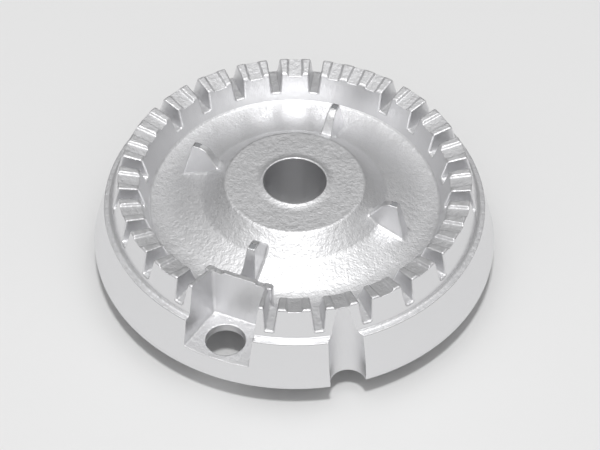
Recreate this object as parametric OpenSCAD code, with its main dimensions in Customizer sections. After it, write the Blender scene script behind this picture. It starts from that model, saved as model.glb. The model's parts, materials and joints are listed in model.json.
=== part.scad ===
// Crown of a gas hob burner: one aluminium die casting. A ring of drafted teeth leaves the flame ports
// between them, round a bowl with a raised hub and four fins. A conical skirt hangs outside the ring,
// with a walled pocket for the ignition electrode and a half-round groove for the flame sensor.
// Z is the axis. The foot of the central tube stands on Z = 0.

/* [Overall] */
// Largest diameter, over the skirt just above its lower edge
skirt_d = 75.2; // [73:0.1:84]
// Height of the tooth tops above the foot
top_z = 20.5; // [19:0.5:24]
// Height of the skirt's lower edge above the foot
skirt_z = 5; // [3:0.5:6]
// Thickness of the skirt and of the walls round the pocket and the groove
wall = 1.3; // [1.1:0.05:1.5]
// Thickness of the floor of the bowl
deck_t = 2; // [1.6:0.1:2.6]
// Turn of the pattern of blocks about the axis, in degrees
turn = 67.9; // [0:0.1:90]

/* [Rim] */
// Diameter over the sharp edge of the rim
rim_d = 70.7; // [70:0.1:72]
// Depth of the rim below the tooth tops
rim_drop = 5.95; // [5.5:0.05:6.5]
// Radius of the fillet between the rim and the teeth
rim_fillet = 0.5; // [0.2:0.1:0.8]
// Height of the machined bevel along the skirt's lower edge
bevel_h = 1; // [0.5:0.1:1.5]
// Depth of the machined bevel along the skirt's lower edge
bevel_t = 0.1; // [0.05:0.05:0.4]

/* [Teeth] */
// Diameter over the teeth at their tops
teeth_d = 65; // [64:0.1:66]
// Diameter over the teeth where they stand on the rim
teeth_foot_d = 68.3; // [67.5:0.1:69]
// Radial thickness of the teeth at their tops
tooth_t = 3.8; // [3.4:0.1:4.4]
// Fall of the tooth tops towards the axis, in degrees
top_fall = 10.6; // [6:0.2:14]
// Number of wide blocks in the ring, each with a fin inside it
blocks = 4; // [3:1:4]
// Slots between two wide blocks
block_slots = 5; // [4:1:5]
// Width of a slot at the tooth tops
slot_w = 2.4; // [1.8:0.1:2.8]
// Depth of a slot below the tooth tops
slot_depth = 4.5; // [3.5:0.1:5]
// Draft of the sides of a slot, in degrees
slot_draft = 5; // [2:0.5:6]
// Radius of the edges of the tooth tops
tooth_round = 0.4; // [0.2:0.05:0.5]

/* [Recesses in the tooth tops] */
// Width of the recess floor in each single tooth
recess_w = 2.4; // [1.8:0.1:2.8]
// Width of each recess floor in a wide block
block_recess_w = 1.9; // [1.4:0.1:2.1]
// Angle between the recesses of a wide block, in degrees
block_recess_step = 7.7; // [7:0.1:8]
// Depth of the recesses
recess_depth = 0.45; // [0.3:0.05:0.6]
// Lean of the sides of the recesses, in degrees from upright
recess_lean = 38; // [20:1:50]

/* [Bowl] */
// Depth of the bowl's lowest ring below the tooth tops
bowl_depth = 6.6; // [6:0.1:7]
// Lean of the wall inside the teeth, in degrees from upright
wall_lean = 16.6; // [10:0.2:20]
// Radius of the hollow of the bowl's floor
bowl_curve = 8.7; // [7:0.1:10]
// Slope of the bowl's floor where it meets the wall, in degrees
crease_slope = 15; // [8:1:18]
// Rise of the bowl's floor towards the hub, in degrees
floor_rise = 19; // [14:1:22]

/* [Hub] */
// Diameter of the flat top of the hub
hub_d = 25.8; // [24:0.2:27]
// Depth of the hub's flat top below the tooth tops
hub_drop = 0.95; // [0.5:0.05:1.5]
// Slope of the hub's flank, in degrees
hub_slope = 40; // [34:1:46]
// Radius of the edge of the hub's flat top
hub_round = 0.9; // [0.4:0.1:1.2]
// Radius of the fillet at the foot of the hub's flank
hub_fillet = 2.5; // [1:0.5:4]
// Diameter of the bore through the hub
bore_d = 11.5; // [10:0.1:13]
// Radius of the bore's upper edge
bore_round = 0.4; // [0.2:0.1:0.6]
// Diameter of the foot of the central tube
foot_d = 19; // [17:0.5:21]
// Draft of the outside of the central tube, in degrees
foot_draft = 1.5; // [0.5:0.5:3]
// Radius of the edge of the foot
foot_round = 0.5; // [0.2:0.1:1]

/* [Fins] */
// Height of the fin tips above the tooth tops
fin_rise = 0.9; // [0.5:0.1:1.5]
// Distance from the axis to the outer edge of a fin tip
fin_out_r = 20.4; // [20:0.1:21]
// Length of the flat fin tip before its ridge is rounded
fin_tip_len = 2.5; // [2:0.1:3]
// Thickness of a fin at its tip
fin_t = 1.45; // [1.2:0.05:1.8]
// Draft of the sides of a fin, in degrees
fin_draft = 6; // [3:0.5:7]
// Lean of the outer edge of a fin, in degrees from upright
fin_lean = 12.9; // [8:0.5:16]
// Slope of the ridge of a fin, in degrees
fin_ridge = 54; // [50:1:62]
// Radius between the tip and the ridge of a fin
fin_round = 2.4; // [1:0.1:2.6]

/* [Electrode pocket] */
// Depth of the pocket's floor below the rim
pocket_drop = 5.4; // [4.5:0.1:5.8]
// Thickness of the pocket's floor
pocket_floor_t = 1.7; // [1.4:0.1:2]
// Distance from the axis to the back of the pocket at its floor
pocket_back_r = 26.6; // [26.2:0.1:27]
// Angle between the middle of the pocket and each of its sides at the floor, in degrees
pocket_half = 9.8; // [9:0.1:10.2]
// Draft of the walls of the pocket, in degrees
pocket_draft = 4; // [2:0.5:5]
// Diameter of the hole for the electrode
electrode_d = 7.2; // [6:0.1:7.4]
// Distance from the axis to the middle of the electrode hole
electrode_r = 32; // [31:0.1:32.4]
// Distance between the recesses in the top of the pocket's back wall
back_recess_gap = 8; // [7:0.1:8.4]
// Width of the floor of these recesses
back_recess_w = 1.1; // [0.8:0.1:1.4]

/* [Sensor groove] */
// Teeth from the middle of the electrode pocket to the middle of the groove
groove_teeth = 2.5; // [2.5:1:3.5]
// Diameter of the groove at the skirt's lower edge
groove_d = 6.5; // [5.5:0.1:7]
// Diameter of the groove at the tooth tops
groove_top_d = 7.3; // [6.5:0.1:7.8]

/* [Hidden] */
$fn = 180;

// Radii and heights worked out from the sizes above
skirt_r = skirt_d / 2;
rim_r = rim_d / 2;
teeth_r = teeth_d / 2;
teeth_foot_r = teeth_foot_d / 2;
hub_r = hub_d / 2;
bore_r = bore_d / 2;
foot_r = foot_d / 2;
groove_r = groove_d / 2;
groove_top_r = groove_top_d / 2;
rim_z = top_z - rim_drop;
wide_z = skirt_z + bevel_h;
skirt_low_r = skirt_r - bevel_t;
slot_z = top_z - slot_depth;
bowl_z = top_z - bowl_depth;
deck_z = bowl_z - deck_t;
hub_z = top_z - hub_drop;
pocket_z = rim_z - pocket_drop;
pocket_under_z = pocket_z - pocket_floor_t;
tooth_in_r = teeth_r - tooth_t;
tooth_in_z = top_z - tooth_t * tan(top_fall);

// Angles between neighbouring blocks and neighbouring slots, and from the first block to the pocket
block_step = 360 / blocks;
pitch = block_step / (block_slots + 1);
pocket_block = 2;

// How far cutters and rough blanks run past the surface they meet
over = 1;

// Slopes of the skirt and of the outer faces of the teeth, above the horizontal
skirt_slope = atan2(rim_z - wide_z, skirt_r - rim_r);
face_slope = atan2(top_z - rim_z, teeth_foot_r - teeth_r);

// Foot of the wall inside the teeth, where the bowl's floor starts
crease_z = bowl_z + bowl_curve * (1 - cos(crease_slope));
crease = [tooth_in_r - (tooth_in_z - crease_z) * tan(wall_lean), crease_z];
// Centre of the hollow of the bowl's floor, and where it runs out into the straight rise to the hub
hollow = [crease.x - bowl_curve * sin(crease_slope), bowl_z + bowl_curve];
rise = hollow - bowl_curve * [sin(floor_rise), cos(floor_rise)];
// Height that the hub's flank would have over the axis, and the foot of that flank
peak_z = hub_z + hub_r * tan(hub_slope);
flank_r = (peak_z - rise.y - rise.x * tan(floor_rise)) / (tan(hub_slope) - tan(floor_rise));
flank = [flank_r, peak_z - flank_r * tan(hub_slope)];

// Height of the fin tips, and where a fin's ridge meets the tip's flat and the flank of the hub
fin_z = top_z + fin_rise;
ridge_r = fin_out_r - fin_tip_len;
ridge_foot_r = (ridge_r * tan(fin_ridge) - fin_z + peak_z) / (tan(fin_ridge) + tan(hub_slope));
ridge_foot = [ridge_foot_r, peak_z - ridge_foot_r * tan(hub_slope)];
fin_foot_r = fin_out_r + (fin_z - bowl_z) * tan(fin_lean);

// Widening of the pocket from its floor to its top, and the bowl's side of its back wall
pocket_flare = (tooth_in_z - pocket_z) * tan(pocket_draft);
pocket_wall_r = pocket_back_r - pocket_flare - wall;
// The outline steps up between the fins and that wall, over the open bowl
step_r = (fin_foot_r + pocket_wall_r) / 2;

// Lean of the groove towards the axis: it runs out just as it reaches the tooth tops
groove_lean = atan2(skirt_low_r - teeth_r - groove_top_r, top_z - skirt_z);

// Point at depth t under the corner p, where a slope of a degrees turns into one of b degrees
function below(p, a, b, t) = p - t * [sin((a + b) / 2), cos((a + b) / 2)] / cos((a - b) / 2);

// Inner radius of the skirt at height z
function skirt_in_r(z) = skirt_r - (z - wide_z) / tan(skirt_slope) - wall / sin(skirt_slope);

// Area between the corner p, whose sides run off at a and b degrees, and a circle that rounds it.
// The area laps over the corner, and the circle crosses both sides instead of just touching them.
module nook(p, a, b, r) {
    lap = 0.1;
    bite = 0.01;
    half = (b - a) / 2;
    reach = r / tan(half);
    c = p + r / sin(half) * [cos(a + half), sin(a + half)];
    difference() {
        polygon([p + (p - c) * lap, p + reach * [cos(a), sin(a)], c, p + reach * [cos(b), sin(b)]]);
        translate(c + (p - c) * bite) circle(r);
    }
}

// Half section of the outer faces: skirt, rim and teeth, with the cone of the tooth tops carried inward
module outline() {
    difference() {
        polygon([
            [0, -over],
            [foot_r + over, -over],
            [foot_r + over, skirt_z],
            [skirt_low_r, skirt_z],
            [skirt_r, wide_z],
            [rim_r, rim_z],
            [teeth_foot_r, rim_z],
            [teeth_r, top_z],
            [step_r, top_z - (teeth_r - step_r) * tan(top_fall)],
            [step_r, fin_z + over],
            [0, fin_z + over]
        ]);
        nook([teeth_r, top_z], 180 + top_fall, 360 - face_slope, tooth_round);
    }
    nook([teeth_foot_r, rim_z], 0, 180 - face_slope, rim_fillet);
}

// Half section of the metal between the bowl and the underside, with rough outer faces
module flesh() {
    flank_under = below(flank, hub_slope, floor_rise, deck_t);
    difference() {
        polygon([
            [bore_r, 0],
            [foot_r, 0],
            [foot_r + (hub_z - deck_t) * tan(foot_draft), hub_z - deck_t],
            below([hub_r, hub_z], 0, hub_slope, deck_t),
            flank_under,
            [flank_under.x + (flank_under.y - deck_z) / tan(floor_rise), deck_z],
            [skirt_in_r(deck_z), deck_z],
            [skirt_in_r(skirt_z - over), skirt_z - over],
            [skirt_r + over, skirt_z - over],
            [skirt_r + over, top_z + over],
            [tooth_in_r + (top_z + over - tooth_in_z) * tan(wall_lean), top_z + over],
            crease,
            rise,
            flank,
            [hub_r, hub_z],
            [bore_r, hub_z]
        ]);
        intersection() {
            translate(hollow) circle(bowl_curve);
            polygon([hollow, 2 * crease - hollow, 2 * rise - hollow]);
        }
        nook([hub_r, hub_z], 180, 360 - hub_slope, hub_round);
        nook([bore_r, hub_z], 270, 360, bore_round);
        nook([foot_r, 0], 90 - foot_draft, 180, foot_round);
    }
    nook(flank, -floor_rise, 180 - hub_slope, hub_fillet);
}

// Fin along +X: its long section crossed with its drafted thickness
module fin() {
    inner = below(ridge_foot, hub_slope, hub_slope, deck_t / 2);
    middle = below(flank, hub_slope, floor_rise, deck_t / 2);
    outer = [fin_foot_r, bowl_z] + deck_t / 2 * [tan(fin_lean), -1];
    foot_half = fin_t / 2 + (fin_z - outer.y) * tan(fin_draft);
    intersection() {
        rotate([90, 0, 0]) linear_extrude(4 * foot_half, center = true) difference() {
            polygon([inner, middle, outer, [fin_out_r, fin_z], [ridge_r, fin_z], ridge_foot]);
            nook([ridge_r, fin_z], fin_ridge - 180, 0, fin_round);
        }
        rotate([90, 0, 90]) linear_extrude(skirt_r) polygon([
            [-foot_half, outer.y],
            [foot_half, outer.y],
            [fin_t / 2, fin_z],
            [-fin_t / 2, fin_z]
        ]);
    }
}

// Room of the pocket along +X from height z up, grown by g at its sides and back, with walls of draft d
module pocket_room(g, d, z) {
    block = [skirt_d, skirt_d, 2 * top_z];
    intersection() {
        rotate([0, 0, pocket_half]) translate([0, g, pocket_z])
            rotate([-d, 0, 0]) translate([0, -skirt_d, -top_z]) cube(block);
        rotate([0, 0, -pocket_half]) translate([0, -g, pocket_z])
            rotate([d, 0, 0]) translate([0, 0, -top_z]) cube(block);
        translate([pocket_back_r - g, -skirt_r, pocket_z])
            rotate([0, -d, 0]) translate([0, 0, -top_z]) cube(block);
        translate([0, -skirt_r, z]) cube(block);
    }
}

// Cone of the groove along +X, grown by g
module groove_cone(g) {
    widen = (groove_top_r - groove_r) / (top_z - skirt_z);
    translate([skirt_low_r, 0, skirt_z]) rotate([0, -groove_lean, 0]) translate([0, 0, -over])
        cylinder(
            h = top_z - skirt_z + 2 * over,
            r1 = groove_r + g - widen * over,
            r2 = groove_top_r + g + widen * over
        );
}

// Cutter of one slot along +X, with an upright end in the bowl
module slot() {
    low_half = slot_w / 2 - slot_depth * tan(slot_draft);
    high_half = slot_w / 2 + over * tan(slot_draft);
    translate([crease.x, 0, 0]) rotate([90, 0, 90]) linear_extrude(skirt_r - crease.x) polygon([
        [-low_half, slot_z],
        [low_half, slot_z],
        [high_half, top_z + over],
        [-high_half, top_z + over]
    ]);
}

// Cutter of one recess along +X, with a floor of width w, from r to the outer edge of the tooth tops
module recess(w, r) {
    high_half = w / 2 + (recess_depth + over) * tan(recess_lean);
    long = (teeth_r - r) / cos(top_fall);
    translate([teeth_r, 0, top_z]) rotate([0, -top_fall, 0]) translate([-long, 0, 0])
        rotate([90, 0, 90]) linear_extrude(long + over) polygon([
            [-w / 2, -recess_depth],
            [w / 2, -recess_depth],
            [high_half, over],
            [-high_half, over]
        ]);
}

// Everything that is cut out of the ring above the rim, apart from the pocket
module ring_cuts() {
    for (b = [0:blocks - 1]) rotate([0, 0, b * block_step]) {
        for (i = [1:block_slots]) rotate([0, 0, i * pitch]) slot();
        for (i = [1:block_slots - 1]) rotate([0, 0, (i + 0.5) * pitch])
            recess(recess_w, tooth_in_r - over);
        if (b != pocket_block) for (i = [-1:1]) rotate([0, 0, i * block_recess_step])
            recess(block_recess_w, tooth_in_r - over);
    }
}

// Whole casting, in one piece
module crown() {
    color("silver") rotate([0, 0, turn]) difference() {
        intersection() {
            rotate_extrude() outline();
            union() {
                rotate_extrude() flesh();
                for (b = [0:blocks - 1]) rotate([0, 0, b * block_step]) fin();
                rotate([0, 0, pocket_block * block_step]) pocket_room(wall + pocket_flare, 0, pocket_under_z);
                rotate([0, 0, pocket_block * block_step + groove_teeth * pitch]) groove_cone(wall);
            }
        }
        ring_cuts();
        rotate([0, 0, pocket_block * block_step]) {
            pocket_room(0, pocket_draft, pocket_z);
            translate([electrode_r, 0, pocket_under_z - over]) cylinder(pocket_drop, d = electrode_d);
            for (side = [-1, 1]) translate([0, side * back_recess_gap / 2, 0])
                recess(back_recess_w, pocket_wall_r - over);
        }
        rotate([0, 0, pocket_block * block_step + groove_teeth * pitch]) groove_cone(0);
    }
}

crown();
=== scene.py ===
"""The burner crown as a finished die casting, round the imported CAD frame."""
import json
import math
from concurrent.futures import ThreadPoolExecutor

import bpy
import numpy as np
from mathutils import Matrix, Vector


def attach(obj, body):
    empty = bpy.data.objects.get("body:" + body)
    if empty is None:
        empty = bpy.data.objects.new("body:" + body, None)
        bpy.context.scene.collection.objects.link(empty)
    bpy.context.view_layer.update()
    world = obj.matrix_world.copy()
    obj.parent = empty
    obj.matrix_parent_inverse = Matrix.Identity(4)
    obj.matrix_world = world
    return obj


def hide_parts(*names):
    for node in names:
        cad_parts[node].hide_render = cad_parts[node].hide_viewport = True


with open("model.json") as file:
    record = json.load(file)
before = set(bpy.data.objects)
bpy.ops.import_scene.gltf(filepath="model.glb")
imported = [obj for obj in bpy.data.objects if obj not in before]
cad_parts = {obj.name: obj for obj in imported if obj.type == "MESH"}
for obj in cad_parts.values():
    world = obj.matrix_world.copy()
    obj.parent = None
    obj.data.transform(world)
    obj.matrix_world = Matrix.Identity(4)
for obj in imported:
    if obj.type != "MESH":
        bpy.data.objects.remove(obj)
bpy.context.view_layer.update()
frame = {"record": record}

# Sizes of the casting are in millimetres and degrees, and MM turns them to metres where the mesh is made.
MM = 0.001


def sind(angle):
    return np.sin(np.radians(angle))


def cosd(angle):
    return np.cos(np.radians(angle))


def tand(angle):
    return np.tan(np.radians(angle))


def mount(name):
    """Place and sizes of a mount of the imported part, in millimetres."""
    row = next(m for m in frame["record"]["mounts"] if m["name"] == name)
    return [v / MM for v in row["pos_m"]], {k: v for k, v in row["dims"].items()}


HOLE_AT, HOLE_DIMS = mount("electrode_hole")
BORE_DIMS = mount("centre_bore")[1]
FIN_TOP_AT = mount("cap_seat")[0]
GROOVE_AT = mount("sensor_groove")[0]

# Heights and the outer form
FIN_RISE = 0.9
TOP_Z = FIN_TOP_AT[2] - FIN_RISE
SKIRT_Z = GROOVE_AT[2]
WALL = 1.3
DECK_T = 2.0
SKIRT_R = 37.6
BEVEL_H = 1.0
BEVEL_T = 0.1
RIM_R = 35.35
RIM_Z = TOP_Z - 5.95

# Teeth
TEETH_R = 32.5
TEETH_FOOT_R = 34.15
TOOTH_T = 3.8
TOP_FALL = 10.6
SLOT_W = 2.4
SLOT_Z = TOP_Z - 4.5
SLOT_DRAFT = 5.0
PITCH = 15.0
BLOCK_STEP = 90.0
TURN = math.degrees(math.atan2(HOLE_AT[1], HOLE_AT[0])) - 2 * BLOCK_STEP

# Recesses in the tooth tops
RECESS_W = 2.4
BLOCK_RECESS_W = 1.9
BLOCK_RECESS_STEP = 7.7
RECESS_DEPTH = 0.45
RECESS_LEAN = 38.0

# Bowl and hub
BOWL_Z = TOP_Z - 6.6
WALL_LEAN = 16.6
BOWL_CURVE = 8.7
CREASE_SLOPE = 15.0
FLOOR_RISE = 19.0
HUB_R = 12.9
HUB_Z = TOP_Z - 0.95
HUB_SLOPE = 40.0
BORE_R = BORE_DIMS["r_mm"]
FOOT_R = 9.5
FOOT_DRAFT = 1.5

# Fins
FIN_Z = TOP_Z + FIN_RISE
FIN_OUT_R = 20.4
FIN_TIP = 2.5
FIN_T = 1.45
FIN_DRAFT = 6.0
FIN_LEAN = 12.9
FIN_RIDGE = 54.0

# Electrode pocket and sensor groove
POCKET_Z = RIM_Z - 5.4
POCKET_UNDER_Z = POCKET_Z - HOLE_DIMS["length_mm"]
POCKET_BACK_R = 26.6
POCKET_HALF = 9.8
POCKET_DRAFT = 4.0
ELECTRODE_R = HOLE_DIMS["r_mm"]
ELECTRODE_U = math.hypot(HOLE_AT[0], HOLE_AT[1])
BACK_GAP = 8.0
BACK_W = 1.1
GROOVE_R = 3.25
GROOVE_TOP_R = 3.65
GROOVE_AT_AZIMUTH = math.degrees(math.atan2(GROOVE_AT[1], GROOVE_AT[0])) - TURN

# What follows from those sizes
CREASE_Z = BOWL_Z + BOWL_CURVE * (1 - cosd(CREASE_SLOPE))
TOOTH_IN_R = TEETH_R - TOOTH_T
TOOTH_IN_Z = TOP_Z - TOOTH_T * tand(TOP_FALL)
CREASE_R = TOOTH_IN_R - (TOOTH_IN_Z - CREASE_Z) * tand(WALL_LEAN)
HOLLOW_R = CREASE_R - BOWL_CURVE * sind(CREASE_SLOPE)
HOLLOW_Z = BOWL_Z + BOWL_CURVE
RISE_R = HOLLOW_R - BOWL_CURVE * sind(FLOOR_RISE)
RISE_Z = HOLLOW_Z - BOWL_CURVE * cosd(FLOOR_RISE)
DECK_Z = BOWL_Z - DECK_T
WIDE_Z = SKIRT_Z + BEVEL_H
SKIRT_SLOPE = math.degrees(math.atan2(RIM_Z - WIDE_Z, SKIRT_R - RIM_R))
BEVEL_SLOPE = 90 + math.degrees(math.atan2(BEVEL_T, BEVEL_H))
FACE_SLOPE = math.degrees(math.atan2(TOP_Z - RIM_Z, TEETH_FOOT_R - TEETH_R))
RIDGE_R = FIN_OUT_R - FIN_TIP
POCKET_FLARE = (TOOTH_IN_Z - POCKET_Z) * tand(POCKET_DRAFT)
GROOVE_U = SKIRT_R - BEVEL_T
GROOVE_LEAN = math.degrees(math.atan2(GROOVE_U - TEETH_R - GROOVE_TOP_R, TOP_Z - SKIRT_Z))
GROOVE_WIDEN = (GROOVE_TOP_R - GROOVE_R) / (TOP_Z - SKIRT_Z)
FAR = 9.0

# Radii of the casting's rounded edges and fillets
KEEN = 0.08
CRISP = 0.12
SOFT = 0.25
EDGE = 0.35
TOP_EDGE = 0.4
FOOT_FILLET = 0.5
UNDER_FILLET = 1.0


# The casting's form: signed distances, below zero in the metal

def both(a, b, radius):
    """What lies in both solids, with the edge between them rounded."""
    over_a = np.maximum(radius + a, 0)
    over_b = np.maximum(radius + b, 0)
    return np.minimum(-radius, np.maximum(a, b)) + np.hypot(over_a, over_b)


def either(a, b, radius):
    """What lies in one solid or the other, with a fillet between them."""
    return -both(-a, -b, radius)


def above(r, z, slope, r0, z0):
    """Distance above a line through r0, z0 that falls outward at that slope."""
    return (r - r0) * sind(slope) + (z - z0) * cosd(slope)


def folded(azimuth, step):
    """Angle from the nearest multiple of the step."""
    return azimuth - step * np.round(azimuth / step)


def pocket_room(u, t, z, grown, draft):
    """Inside of the pocket's two sides and its back. u runs outward along its middle line, t across it."""
    lift = (z - POCKET_Z) * sind(draft)
    side = (np.abs(t) * cosd(POCKET_HALF) - u * sind(POCKET_HALF) - grown) * cosd(draft) - lift
    back = (POCKET_BACK_R - grown - u) * cosd(draft) - lift
    return both(side, back, 0.5)


def groove_cone(u, t, z, grown):
    """Inside of the leaning cone of the sensor groove."""
    middle = GROOVE_U - (z - SKIRT_Z) * tand(GROOVE_LEAN)
    return np.hypot((u - middle) * cosd(GROOVE_LEAN), t) - (GROOVE_R + grown + (z - SKIRT_Z) * GROOVE_WIDEN)


def recess(t, height, width):
    """Inside of a recess whose floor has that width. Height is above the floor."""
    side = (np.abs(t) - width / 2) * cosd(RECESS_LEAN) - height * sind(RECESS_LEAN)
    return both(side, -height, 0.1)


def skirt_face(r, z):
    """Distance outside the turned cone and the short bevel below it."""
    cone = above(r, z, SKIRT_SLOPE, SKIRT_R, WIDE_Z)
    return both(cone, above(r, z, BEVEL_SLOPE, SKIRT_R, WIDE_Z), 0.02)


def tooth_face(r, z):
    """Distance outside the turned outer face of the teeth."""
    return above(r, z, FACE_SLOPE, TEETH_R, TOP_Z)


def floor_top(r, z):
    """The bowl's rising floor and hollow with the hub, without the ring."""
    rise = above(r, z, FLOOR_RISE, RISE_R, RISE_Z)
    outward = (r - RISE_R) * cosd(FLOOR_RISE) - (z - RISE_Z) * sind(FLOOR_RISE)
    hollow = BOWL_CURVE - np.hypot(r - HOLLOW_R, z - HOLLOW_Z)
    hub = both(z - HUB_Z, above(r, z, HUB_SLOPE, HUB_R, HUB_Z), 0.2)
    return either(np.where(outward > 0, hollow, rise), hub, 0.17)


def fins(r, azimuth, z, floor):
    """The four drafted fins that carry the cap."""
    off = folded(azimuth, BLOCK_STEP)
    u, t = r * cosd(off), r * sind(off)
    ridge = (z - FIN_Z) * cosd(FIN_RIDGE) - (u - RIDGE_R) * sind(FIN_RIDGE)
    edge = (u - FIN_OUT_R) * cosd(FIN_LEAN) + (z - FIN_Z) * sind(FIN_LEAN)
    sides = (np.abs(t) - FIN_T / 2) * cosd(FIN_DRAFT) - (FIN_Z - z) * sind(FIN_DRAFT)
    blade = both(both(both(z - FIN_Z, ridge, 1.0), edge, SOFT), sides, SOFT)
    return np.maximum(blade, -floor - DECK_T / 2)


def underside(r, z, pocket_block, groove_block):
    """The open space below the deck, between the skirt and the foot's tube."""
    hub = np.maximum(above(r, z, HUB_SLOPE, HUB_R, HUB_Z), z - HUB_Z)
    rise = above(r, z, FLOOR_RISE, RISE_R, RISE_Z)
    deck = np.minimum(np.minimum(z - DECK_Z, rise + DECK_T), hub + DECK_T)
    tube = (FOOT_R + z * tand(FOOT_DRAFT) - r) * cosd(FOOT_DRAFT)
    space = both(both(deck, skirt_face(r, z) + WALL, UNDER_FILLET), tube, UNDER_FILLET)
    space = both(space, -np.maximum(pocket_block, POCKET_UNDER_Z - z), UNDER_FILLET)
    return both(space, -groove_block, UNDER_FILLET)


def slots(r, azimuth, z):
    """The drafted slots between the teeth, none at the four blocks."""
    place = np.round(azimuth / PITCH)
    off = azimuth - PITCH * place
    u, t = r * cosd(off), r * sind(off)
    side = (np.abs(t) - SLOT_W / 2) * cosd(SLOT_DRAFT) - (z - TOP_Z) * sind(SLOT_DRAFT)
    gap = np.maximum(both(side, SLOT_Z - z, SOFT), CREASE_R - u)
    return np.where(np.mod(place, BLOCK_STEP / PITCH) == 0, FAR, gap)


def recesses(r, azimuth, z, u, t, tops):
    """The recess of each single tooth, three on each wide block and two behind the pocket."""
    height = tops + RECESS_DEPTH
    place = np.round(azimuth / PITCH - 0.5)
    single = recess(r * sind(azimuth - PITCH * (place + 0.5)), height, RECESS_W)
    off = folded(azimuth, BLOCK_STEP)
    nearest = np.clip(np.round(off / BLOCK_RECESS_STEP), -1, 1)
    wide = recess(r * sind(off - BLOCK_RECESS_STEP * nearest), height, BLOCK_RECESS_W)
    wide = np.where(np.mod(np.round(azimuth / BLOCK_STEP), 4) == 2, FAR, wide)
    on_single = np.mod(place, BLOCK_STEP / PITCH)
    ring = np.where((on_single >= 1) & (on_single <= 4), single, wide)
    ring = np.maximum(ring, TOOTH_IN_R - 1 - r)
    back = recess(np.abs(t) - BACK_GAP / 2, height, BACK_W)
    back = np.maximum(back, np.maximum(23.5 - u, u - 27.5))
    return np.minimum(ring, back)


def crown(x, y, z):
    """Distance to the casting's surface, turned so that the first wide block is on +X."""
    r = np.hypot(x, y)
    azimuth = np.degrees(np.arctan2(y, x))
    u, t = -x, -y
    groove_u = x * cosd(GROOVE_AT_AZIMUTH) + y * sind(GROOVE_AT_AZIMUTH)
    groove_t = y * cosd(GROOVE_AT_AZIMUTH) - x * sind(GROOVE_AT_AZIMUTH)
    pocket_block = pocket_room(u, t, z, WALL + POCKET_FLARE, 0)
    groove_block = groove_cone(groove_u, groove_t, z, WALL)

    outside = either(both(skirt_face(r, z), z - RIM_Z, KEEN), tooth_face(r, z), FOOT_FILLET)
    tops = above(r, z, -TOP_FALL, TEETH_R, TOP_Z)
    inner = above(r, z, 90 + WALL_LEAN, CREASE_R, CREASE_Z) * -1
    floor = floor_top(r, z)
    ring = both(either(inner, pocket_block, TOP_EDGE), tops, TOP_EDGE)
    solid = both(either(ring, floor, 0.3), outside, TOP_EDGE)
    solid = either(solid, fins(r, azimuth, z, floor), FOOT_FILLET)

    solid = both(solid, -underside(r, z, pocket_block, groove_block), CRISP)
    foot = both(solid, -z, FOOT_FILLET)
    solid = np.where(r < FOOT_R + 3, foot, both(solid, SKIRT_Z - z, CRISP))
    solid = both(solid, BORE_R - r, np.where(z > DECK_Z, TOP_EDGE, CRISP))
    solid = both(solid, -slots(r, azimuth, z), EDGE)
    solid = both(solid, -recesses(r, azimuth, z, u, t, tops), CRISP)

    room = both(pocket_room(u, t, z, 0, POCKET_DRAFT), POCKET_Z - z, SOFT)
    solid = both(solid, -room, CRISP)
    hole = np.maximum(np.hypot(u - ELECTRODE_U, t) - ELECTRODE_R, POCKET_UNDER_Z - 1 - z)
    solid = both(solid, -hole, CRISP)
    return both(solid, -groove_cone(groove_u, groove_t, z, 0), CRISP)


# From distances to a mesh

SLICE = 60000
PROBE = 0.01


def in_slices(work, points):
    """Runs work on slices of the points, on every core, and joins the results."""
    starts = range(0, len(points), SLICE)
    with ThreadPoolExecutor() as pool:
        parts = list(pool.map(lambda start: work(points[start:start + SLICE]), starts))
    return np.concatenate(parts)


def distance(points):
    return in_slices(lambda p: crown(p[:, 0], p[:, 1], p[:, 2]), points)


def gradient(points):
    """The way out of the metal at each point."""
    def work(p):
        result = np.empty_like(p)
        for axis in range(3):
            shift = np.zeros(3)
            shift[axis] = PROBE
            ahead, behind = (p + shift).T, (p - shift).T
            result[:, axis] = (crown(*ahead) - crown(*behind)) / (2 * PROBE)
        return result
    return in_slices(work, points)


class Grid:
    """Cells round the Z axis: rings outward, steps round and layers up."""

    def __init__(self, inner, outer, low, high, cell, coarse):
        self.coarse = coarse
        self.inner = inner
        self.low = low
        self.rings = coarse * math.ceil((outer - inner) / cell / coarse)
        self.layers = coarse * math.ceil((high - low) / cell / coarse)
        self.steps = 4 * coarse * math.ceil(2 * math.pi * outer / cell / coarse / 4)
        self.dr = (outer - inner) / self.rings
        self.dz = (high - low) / self.layers
        self.da = 2 * math.pi / self.steps

    def place(self, ring, step, layer):
        """Points of the grid in space."""
        r = self.inner + ring * self.dr
        angle = step * self.da
        return np.stack([r * np.cos(angle), r * np.sin(angle), self.low + layer * self.dz], 1)

    def number(self, ring, step, layer):
        """One number for each grid point or cell. The steps close on themselves."""
        return (np.mod(step, self.steps) * (self.rings + 1) + ring) * (self.layers + 1) + layer

    def split(self, number):
        layer = number % (self.layers + 1)
        number = number // (self.layers + 1)
        return number % (self.rings + 1), number // (self.rings + 1), layer


def cells_near_surface(grid):
    """The cells of the coarse blocks that the surface may pass through."""
    n = grid.coarse
    blocks = np.meshgrid(np.arange(grid.rings // n), np.arange(grid.steps // n),
                         np.arange(grid.layers // n), indexing="ij")
    ring, step, layer = (n * b.ravel() for b in blocks)
    middle = grid.place(ring + n / 2, step + n / 2, layer + n / 2)
    across = grid.da * np.hypot(middle[:, 0], middle[:, 1])
    reach = 0.7 * n * np.sqrt(grid.dr ** 2 + grid.dz ** 2 + across ** 2)
    near = np.abs(distance(middle)) < reach
    inside = [o.ravel() for o in np.meshgrid(*[np.arange(n)] * 3, indexing="ij")]
    return [(start[near][:, None] + o).ravel() for start, o in zip((ring, step, layer), inside)]


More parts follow.
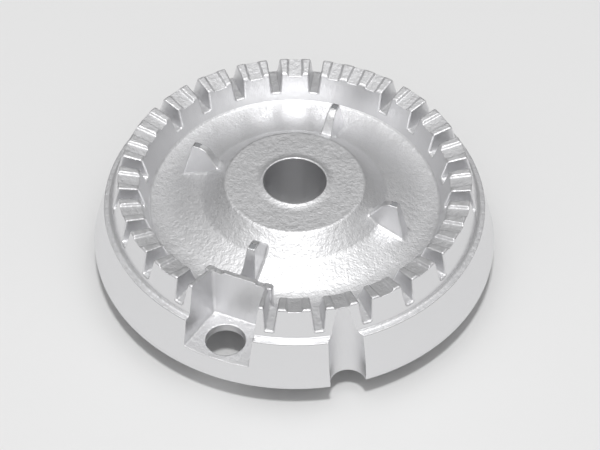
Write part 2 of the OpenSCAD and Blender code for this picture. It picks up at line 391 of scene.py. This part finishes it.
CORNERS = [(a, b, c) for a in (0, 1) for b in (0, 1) for c in (0, 1)]
EDGES = [(0, 4), (1, 5), (2, 6), (3, 7), (0, 2), (1, 3), (4, 6), (5, 7), (0, 1), (2, 3), (4, 5), (6, 7)]
# For each direction: the corner at the edge's far end, and the other three cells round the edge
AROUND = [(4, [(0, -1, 0), (0, -1, -1), (0, 0, -1)]),
          (2, [(0, 0, -1), (-1, 0, -1), (-1, 0, 0)]),
          (1, [(-1, 0, 0), (-1, -1, 0), (0, -1, 0)])]


def crossed_cells(grid):
    """The cells that the surface crosses, with the distances at their corners."""
    cells = cells_near_surface(grid)
    corners = np.stack([grid.number(*(cell + o for cell, o in zip(cells, offset))) for offset in CORNERS], 1)
    points, where = np.unique(corners, return_inverse=True)
    values = distance(grid.place(*grid.split(points)))[where.reshape(corners.shape)]
    crossed = (values.min(1) < 0) & (values.max(1) >= 0)
    return [cell[crossed] for cell in cells], values[crossed]


def faces_between(grid, cells, values):
    """A quad round each grid edge that the surface crosses, turned to face out of the metal."""
    numbers = grid.number(*cells)
    order = np.argsort(numbers)
    numbers = numbers[order]
    quads = []
    for corner, others in AROUND:
        hit = np.nonzero((values[:, 0] < 0) != (values[:, corner] < 0))[0]
        ring = [hit]
        for offset in others:
            wanted = grid.number(*(cell[hit] + o for cell, o in zip(cells, offset)))
            ring.append(order[np.searchsorted(numbers, wanted)])
        quad = np.stack(ring, 1)
        outward = values[hit, 0] < 0
        quad[~outward] = quad[~outward][:, ::-1]
        quads.append(quad)
    return np.concatenate(quads)


PULL = 0.05
FARTHEST_MOVE = 0.25


def sharp_places(grid, cells, values):
    """For each crossed cell the point where the surface's planes meet, near the mean of its crossings."""
    count = len(values)
    corners = [grid.place(*(cell + o for cell, o in zip(cells, offset))) for offset in CORNERS]
    crossings = []
    total = np.zeros((count, 3))
    number = np.zeros(count)
    for a, b in EDGES:
        hit = np.nonzero((values[:, a] < 0) != (values[:, b] < 0))[0]
        share = (values[hit, a] / (values[hit, a] - values[hit, b]))[:, None]
        point = corners[a][hit] * (1 - share) + corners[b][hit] * share
        crossings.append((hit, point))
        total[hit] += point
        number[hit] += 1
    mean = total / number[:, None]
    square = np.tile(PULL * np.eye(3), (count, 1, 1))
    right = np.zeros((count, 3))
    for hit, point in crossings:
        normal = gradient(point)
        size = np.maximum(np.linalg.norm(normal, axis=1), 0.1)
        normal /= size[:, None]
        depth = ((point - mean[hit]) * normal).sum(1) - distance(point) / size
        square[hit] += normal[:, :, None] * normal[:, None, :]
        right[hit] += normal * depth[:, None]
    move = np.linalg.solve(square, right[:, :, None])[:, :, 0]
    move[np.linalg.norm(move, axis=1) > FARTHEST_MOVE] = 0
    return mean + move


def settled(points, rounds=2, farthest=0.1):
    """The points moved along the gradient onto the surface."""
    for _ in range(rounds):
        slope = gradient(points)
        steep = np.maximum((slope ** 2).sum(1), 0.05)
        move = slope * (distance(points) / steep)[:, None]
        size = np.maximum(np.linalg.norm(move, axis=1), 1e-9)
        points = points - move * np.minimum(1, farthest / size)[:, None]
    return points


CELL = 0.25
TRIANGLES = 190000


def mesh_of(name, points, faces):
    """A mesh from arrays of points and of faces that all have the same number of corners."""
    mesh = bpy.data.meshes.new(name)
    corners = faces.shape[1]
    mesh.vertices.add(len(points))
    mesh.vertices.foreach_set("co", points.astype(np.float32).ravel())
    mesh.loops.add(faces.size)
    mesh.loops.foreach_set("vertex_index", faces.astype(np.int32).ravel())
    mesh.polygons.add(len(faces))
    mesh.polygons.foreach_set("loop_start", np.arange(0, faces.size, corners, dtype=np.int32))
    mesh.update(calc_edges=True)
    return mesh


def thinned(mesh, triangles):
    """The mesh with about that many triangles, fewest where it is flat."""
    piece = bpy.data.objects.new(mesh.name, mesh)
    bpy.context.scene.collection.objects.link(piece)
    modifier = piece.modifiers.new("thin", "DECIMATE")
    modifier.ratio = triangles / (2 * len(mesh.polygons))
    modifier.use_collapse_triangulate = True
    graph = bpy.context.evaluated_depsgraph_get()
    result = bpy.data.meshes.new_from_object(piece.evaluated_get(graph))
    bpy.data.objects.remove(piece)
    bpy.data.meshes.remove(mesh)
    return result


def vectors(values, count):
    return np.array(values, dtype=np.float64).reshape(count, 3)


def read_points(mesh):
    points = np.empty(3 * len(mesh.vertices), dtype=np.float32)
    mesh.vertices.foreach_get("co", points)
    return vectors(points, len(mesh.vertices))


def read_corners(mesh):
    """The vertex of each face corner, three to a face."""
    index = np.empty(len(mesh.loops), dtype=np.int32)
    mesh.loops.foreach_get("vertex_index", index)
    return index


INSET = 0.1


def corner_points(points, corners):
    """A point just inside each face corner, so that each side of a keen edge has its own normal."""
    place = points[corners].reshape(-1, 3, 3)
    inward = place.mean(1, keepdims=True) - place
    length = np.maximum(np.linalg.norm(inward, axis=2, keepdims=True), 1e-9)
    return (place + inward * np.minimum(0.3, INSET / length)).reshape(-1, 3)


def turned(vector):
    """Vectors turned from the blocks' frame into the part's frame."""
    x, y, z = vector.T
    return np.stack([x * cosd(TURN) - y * sind(TURN), x * sind(TURN) + y * cosd(TURN), z], 1)


CAST, TURNED, POLISHED_PAINTED_REFLECTION = 0, 1, 2


def finish_of(points):
    """Which material each point has: turned on the outer faces, polished on the fins' tips, where the darker
    colour is a painted dark reflection, else cast.
    """
    x, y, z = points.T
    r = np.hypot(x, y)
    on_skirt = (np.abs(skirt_face(r, z)) < 0.03) & (z < RIM_Z)
    on_teeth = (np.abs(tooth_face(r, z)) < 0.03) & (z > RIM_Z + FOOT_FILLET)
    finish = np.where(on_skirt | on_teeth, TURNED, CAST)
    # The fins' tips get the polished material whose darker colour is a painted dark reflection.
    return np.where(z > FIN_Z - 0.02, POLISHED_PAINTED_REFLECTION, finish)


def build_crown():
    """The casting as one closed mesh on the distance function's surface."""
    grid = Grid(5.0, 38.2, -0.6, 22.0, CELL, 4)
    cells, values = crossed_cells(grid)
    points = settled(sharp_places(grid, cells, values))
    mesh = thinned(mesh_of("crown_casting", points, faces_between(grid, cells, values)), TRIANGLES)
    points = settled(read_points(mesh))
    corners = read_corners(mesh)
    just_inside = corner_points(points, corners)
    normals = gradient(just_inside)
    normals /= np.linalg.norm(normals, axis=1, keepdims=True)
    mesh.vertices.foreach_set("co", (turned(points) * MM).astype(np.float32).ravel())
    mesh.polygons.foreach_set("use_smooth", np.ones(len(mesh.polygons), dtype=bool))
    mesh.normals_split_custom_set(turned(normals).tolist())
    middles = points[corners].reshape(-1, 3, 3).mean(1)
    mesh.polygons.foreach_set("material_index", finish_of(middles).astype(np.int32))
    mesh.update()
    piece = bpy.data.objects.new("crown_casting", mesh)
    bpy.context.scene.collection.objects.link(piece)
    return piece


# Materials

METAL = (0.80, 0.80, 0.81, 1)


class Finish:
    """A metal material, with short ways to add and join its nodes."""

    def __init__(self, name, roughness):
        self.material = bpy.data.materials.new(name)
        self.material.use_nodes = True
        self.tree = self.material.node_tree
        self.shader = self.tree.nodes["Principled BSDF"]
        self.shader.inputs["Base Color"].default_value = METAL
        self.shader.inputs["Metallic"].default_value = 1
        self.shader.inputs["Roughness"].default_value = roughness
        self.coordinates = self.node("ShaderNodeTexCoord")

    def node(self, kind, **values):
        """A node with the given inputs, by name, as numbers or as other nodes' outputs."""
        node = self.tree.nodes.new(kind)
        for name, value in values.items():
            self.set(node.inputs[name.replace("_", " ")], value)
        return node

    def set(self, socket, value):
        if isinstance(value, bpy.types.NodeSocket):
            self.tree.links.new(value, socket)
        else:
            socket.default_value = value

    def math(self, operation, first, second=0.0):
        node = self.tree.nodes.new("ShaderNodeMath")
        node.operation = operation
        self.set(node.inputs[0], first)
        self.set(node.inputs[1], second)
        return node.outputs[0]

    def ramp(self, value, low, high, out_low=0.0, out_high=1.0):
        """The value from low to high, as out_low to out_high and smooth at both ends."""
        node = self.node("ShaderNodeMapRange", Value=value, From_Min=low, From_Max=high,
                         To_Min=out_low, To_Max=out_high)
        node.interpolation_type = "SMOOTHSTEP"
        return node.outputs[0]

    def noise(self, size, stretch=(1, 1, 1), detail=2.0, roughness=0.5):
        """Noise with spots of that size in millimetres, longer along an axis by its stretch."""
        scale = tuple(1 / (size * MM * s) for s in stretch)
        mapping = self.node("ShaderNodeMapping", Vector=self.coordinates.outputs["Object"], Scale=scale)
        return self.node("ShaderNodeTexNoise", Vector=mapping.outputs[0], Scale=1.0,
                         Detail=detail, Roughness=roughness).outputs["Fac"]

    def bump(self, height, depth, under=None):
        """Bump of that depth in millimetres, over another bump if one is given."""
        node = self.node("ShaderNodeBump", Height=height, Distance=depth * MM, Strength=1.0)
        if under is not None:
            self.set(node.inputs["Normal"], under)
        return node.outputs[0]

    def steepness(self):
        """0 on level surfaces, 1 on steep ones."""
        z = self.node("ShaderNodeSeparateXYZ", Vector=self.coordinates.outputs["Normal"]).outputs["Z"]
        return self.ramp(self.math("ABSOLUTE", z), 0.62, 0.4)


def cast_aluminium():
    """Blasted die-cast skin: grainy where it is level, drawn smooth with fine streaks on the drafted walls."""
    skin = Finish("cast_aluminium", 0.5)
    steep = skin.steepness()
    level = skin.math("SUBTRACT", 1.0, steep)
    grain = skin.noise(0.34, detail=3.0, roughness=0.6)
    pits = skin.noise(0.9, detail=2.0)
    streaks = skin.noise(0.22, stretch=(1, 1, 14), detail=2.0)
    wave = skin.bump(skin.noise(5.0), 0.12)
    coarse = skin.bump(skin.math("MULTIPLY", pits, level), 0.10, wave)
    fine = skin.bump(skin.math("MULTIPLY", grain, level), 0.075, coarse)
    drawn = skin.bump(skin.math("MULTIPLY", streaks, steep), 0.02, fine)
    skin.set(skin.shader.inputs["Normal"], drawn)
    matt = skin.ramp(grain, 0.3, 0.7, 0.42, 0.6)
    satin = skin.ramp(streaks, 0.3, 0.7, 0.34, 0.46)
    mix = skin.node("ShaderNodeMix", Factor=steep)
    skin.set(mix.inputs["A"], matt)
    skin.set(mix.inputs["B"], satin)
    skin.set(skin.shader.inputs["Roughness"], mix.outputs["Result"])
    return skin.material


def turned_aluminium():
    """Bright lathe-turned faces, whose fine grooves run round the part."""
    face = Finish("turned_aluminium", 0.2)
    face.shader.inputs["Anisotropic"].default_value = 0.75
    tangent = face.tree.nodes.new("ShaderNodeTangent")
    tangent.direction_type = "RADIAL"
    tangent.axis = "Z"
    face.set(face.shader.inputs["Tangent"], tangent.outputs[0])
    apart = face.node("ShaderNodeSeparateXYZ", Vector=face.coordinates.outputs["Object"])
    across = face.node("ShaderNodeCombineXYZ", Z=apart.outputs["Z"])
    lines = face.node("ShaderNodeTexNoise", Vector=across.outputs[0], Scale=1 / (0.12 * MM), Detail=2.0)
    face.set(face.shader.inputs["Normal"], face.bump(lines.outputs["Fac"], 0.0015))
    face.set(face.shader.inputs["Roughness"], face.ramp(lines.outputs["Fac"], 0.3, 0.7, 0.16, 0.26))
    return face.material


def polished_tip_painted_reflection():
    """The fins' tips, polished by the cap, with a darker metal colour that is a painted dark reflection."""
    tip = Finish("polished_tip_painted_reflection", 0.14)
    # Darker than METAL: painted reflection of dark surroundings in the polished tips, not a darker metal.
    tip.shader.inputs["Base Color"].default_value = (0.62, 0.63, 0.65, 1)
    tip.set(tip.shader.inputs["Normal"], tip.bump(tip.noise(0.25), 0.004))
    return tip.material


def plain_floor():
    material = bpy.data.materials.new("floor")
    material.use_nodes = True
    shader = material.node_tree.nodes["Principled BSDF"]
    shader.inputs["Base Color"].default_value = (0.8, 0.8, 0.8, 1)
    shader.inputs["Roughness"].default_value = 0.8
    return material


# Stage, camera and light

def build_floor():
    mesh = mesh_of("floor", np.array([(-2, -2, 0), (2, -2, 0), (2, 2, 0), (-2, 2, 0)]), np.array([[0, 1, 2, 3]]))
    floor = bpy.data.objects.new("floor", mesh)
    bpy.context.scene.collection.objects.link(floor)
    mesh.materials.append(plain_floor())


# Camera fitted to the photograph: pixels, millimetres and degrees
IMAGE_W = 600
SENSOR = 36.0
FOCAL_PX = 2358.46
CAMERA_RANGE = 433.66
CAMERA_HEIGHT = 46.572
CAMERA_SIDE = 0.952
CAMERA_UP = -8.691
CAMERA_ROLL = 0.606


def build_camera():
    back = Vector((0, -cosd(CAMERA_HEIGHT), sind(CAMERA_HEIGHT)))
    level = Vector((1, 0, 0))
    upward = back.cross(level)
    right = level * cosd(CAMERA_ROLL) + upward * sind(CAMERA_ROLL)
    up = upward * cosd(CAMERA_ROLL) - level * sind(CAMERA_ROLL)
    place = back * CAMERA_RANGE + right * CAMERA_SIDE + up * CAMERA_UP + Vector((0, 0, TOP_Z))
    data = bpy.data.cameras.new("camera")
    data.sensor_width = SENSOR
    data.lens = FOCAL_PX / IMAGE_W * SENSOR
    data.clip_start = 0.01
    data.clip_end = 20
    camera = bpy.data.objects.new("camera", data)
    turn = Matrix((right, up, back)).transposed()
    camera.matrix_world = Matrix.Translation(place * MM) @ turn.to_4x4()
    bpy.context.scene.collection.objects.link(camera)
    bpy.context.scene.camera = camera


def add_lamp(name, place, size, power):
    """A square soft box at that place in metres, aimed at the part."""
    data = bpy.data.lights.new(name, "AREA")
    data.shape = "SQUARE"
    data.size = size
    data.energy = power
    lamp = bpy.data.objects.new(name, data)
    lamp.location = place
    aim = Vector((0, 0, 0.01)) - Vector(place)
    lamp.rotation_euler = aim.to_track_quat("-Z", "Y").to_euler()
    bpy.context.scene.collection.objects.link(lamp)


LIGHT_SIDE = (0.0, -0.30, 0.954)


def build_world():
    """A soft studio dome, brightest round the key lamp's side and dim near the far horizon."""
    world = bpy.data.worlds.new("world")
    world.use_nodes = True
    bpy.context.scene.world = world
    nodes, links = world.node_tree.nodes, world.node_tree.links
    direction = nodes.new("ShaderNodeTexCoord").outputs["Generated"]
    toward = nodes.new("ShaderNodeVectorMath")
    toward.operation = "DOT_PRODUCT"
    links.new(direction, toward.inputs[0])
    toward.inputs[1].default_value = LIGHT_SIDE
    level = nodes.new("ShaderNodeMapRange")
    level.interpolation_type = "SMOOTHSTEP"
    for name, value in (("From Min", -0.1), ("From Max", 1.0), ("To Min", 0.10), ("To Max", 0.75)):
        level.inputs[name].default_value = value
    links.new(toward.outputs["Value"], level.inputs["Value"])
    links.new(level.outputs["Result"], nodes["Background"].inputs["Strength"])
    nodes["Background"].inputs["Color"].default_value = (1, 1, 1, 1)


piece = build_crown()
for finish in (cast_aluminium(), turned_aluminium(), polished_tip_painted_reflection()):
    piece.data.materials.append(finish)
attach(piece, "root")
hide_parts("crown")
build_floor()
build_camera()
build_world()
add_lamp("key", (0, -0.3, 1.0), 0.10, 5)
bpy.context.scene.view_settings.view_transform = "Standard"
